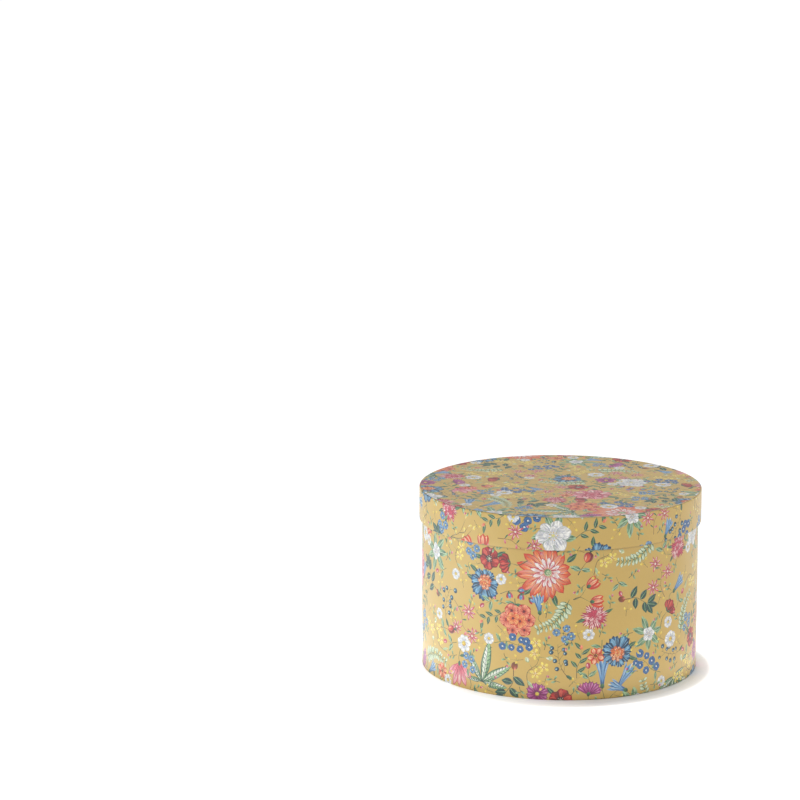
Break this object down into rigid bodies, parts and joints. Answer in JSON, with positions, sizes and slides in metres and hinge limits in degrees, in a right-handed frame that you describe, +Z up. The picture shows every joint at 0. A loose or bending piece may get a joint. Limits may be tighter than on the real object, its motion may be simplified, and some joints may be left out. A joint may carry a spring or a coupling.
{
  "type": "hat box",
  "caption": "Round rigid paperboard hat box with a shallow lift-off lid that overhangs the wall, covered in floral paper.",
  "frame": {"origin": "centre of the underside of the base, on the box's axis", "axes": "+Z up along the box's axis; -Y is the front that is seen, and the butt joints and lapped seams are at the back, +Y"},
  "size_m": [0.3, 0.3, 0.195],
  "materials": {
    "greyboard": "matte",
    "kraft_tape": "matte",
    "printed_paper": "satin",
    "base_paper": "satin",
    "lining_paper": "matte"
  },
  "bodies": {
    "box_body": {"wall_board": "greyboard", "wall_joint_tape": "kraft_tape", "base_board": "greyboard", "body_wrap": "printed_paper", "base_cover_paper": "base_paper", "wall_lining": "lining_paper", "base_lining": "lining_paper"},
    "lid": {"lid_top_board": "greyboard", "lid_rim_board": "greyboard", "lid_rim_wrap": "printed_paper", "lid_top_paper": "printed_paper", "lid_inner_lining": "lining_paper"}
  },
  "joints": [
    {"name": "lid_lift", "type": "slide", "parent": "box_body", "child": "lid", "axis": [0, 0, 1], "range_m": [0, 0.15]}
  ]
}
